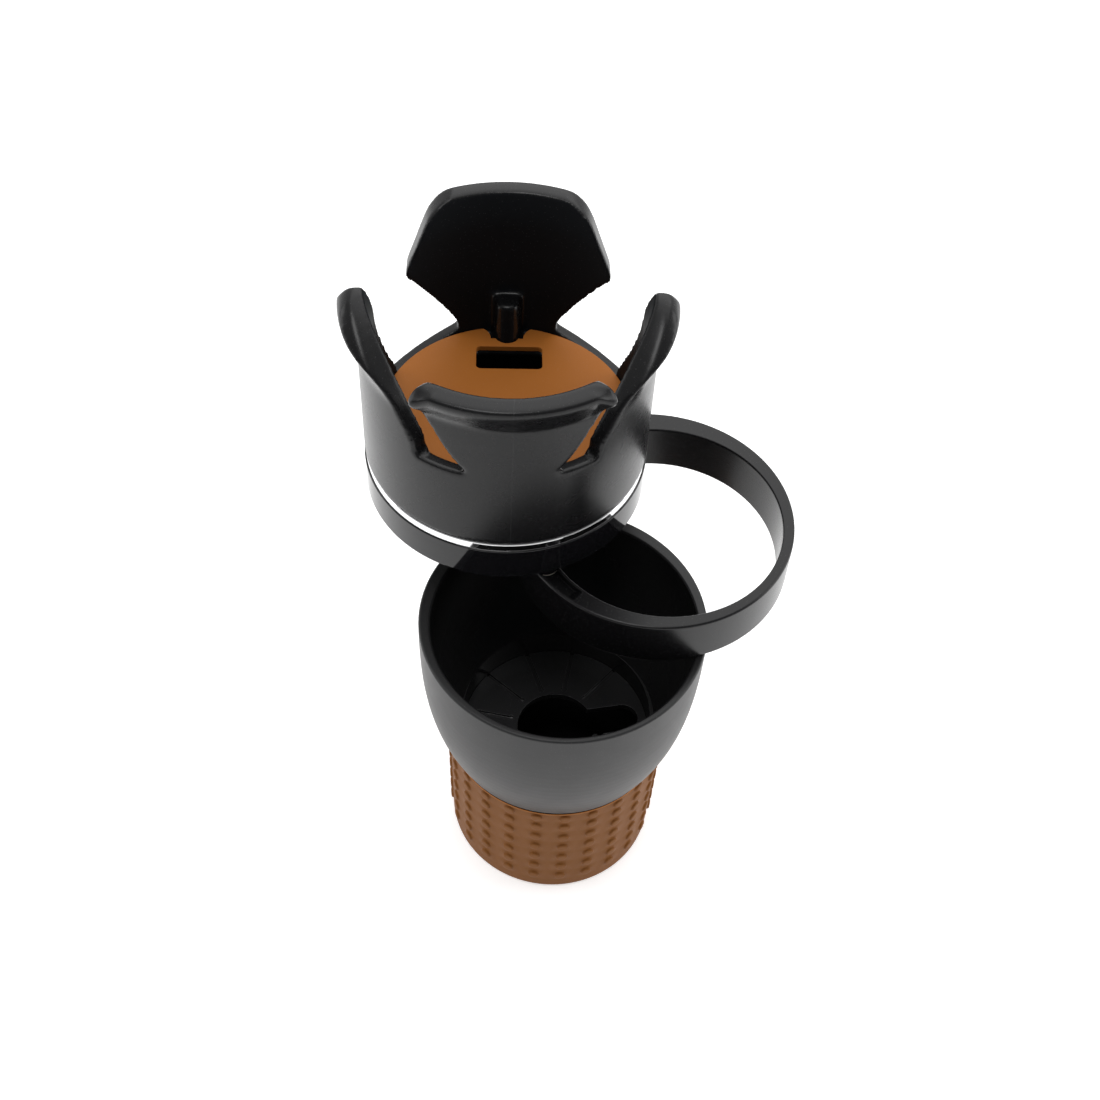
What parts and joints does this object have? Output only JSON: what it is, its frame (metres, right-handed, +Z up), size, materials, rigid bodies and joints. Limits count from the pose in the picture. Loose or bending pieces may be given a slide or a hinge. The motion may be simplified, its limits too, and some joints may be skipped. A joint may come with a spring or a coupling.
{
  "type": "swing-out car cup holder",
  "caption": "Cup-shaped foot with a rubber boot, a swinging ring on its rim and a petal-shaped holder that swings out on the ring.",
  "frame": {"origin": "centre of the rubber boot's underside, on the foot's axis", "axes": "+Z up along the foot's axis, the pictured front faces -Y, +X to the picture's right"},
  "size_m": [0.1484, 0.1469, 0.2193],
  "materials": {
    "sleeve_rubber": "matte brown rubber with raised bumps",
    "pad_rubber": "matte light brown rubber",
    "cup_plastic": "satin charcoal, fine moulded grain",
    "gloss_black": "polished black",
    "bright_trim": "mirror chrome plating",
    "steel": "turned steel",
    "washer_plastic": "natural slippery plastic"
  },
  "bodies": {
    "base": {"rubber_sleeve": "sleeve_rubber", "base_cup": "cup_plastic", "floor_insert": "cup_plastic", "ring_pivot_pin": "steel", "ring_thrust_washer": "washer_plastic", "ring_pivot_washer": "steel", "ring_pivot_screw": "steel"},
    "ring": {"swing_ring": "cup_plastic"},
    "upper": {"upper_pivot_pin": "steel", "upper_thrust_washer": "washer_plastic", "upper_pivot_washer": "steel", "upper_pivot_screw": "steel", "base_cover": "cup_plastic", "cover_screws": "steel", "base_band": "gloss_black", "trim_ring": "bright_trim", "upper_cup": "cup_plastic", "rubber_pad": "pad_rubber"}
  },
  "joints": [
    {"name": "ring_swing", "type": "hinge", "parent": "base", "child": "ring", "pos_m": [-0.0127, 0.04003, 0.1185], "axis": [0, 0, 1], "range_deg": [-61.1, 118.9]},
    {"name": "upper_swing", "type": "hinge", "parent": "ring", "child": "upper", "pos_m": [-0.00686, 0.00911, 0.137], "axis": [0, 0, 1], "range_deg": [-79.3, 100.7]}
  ]
}
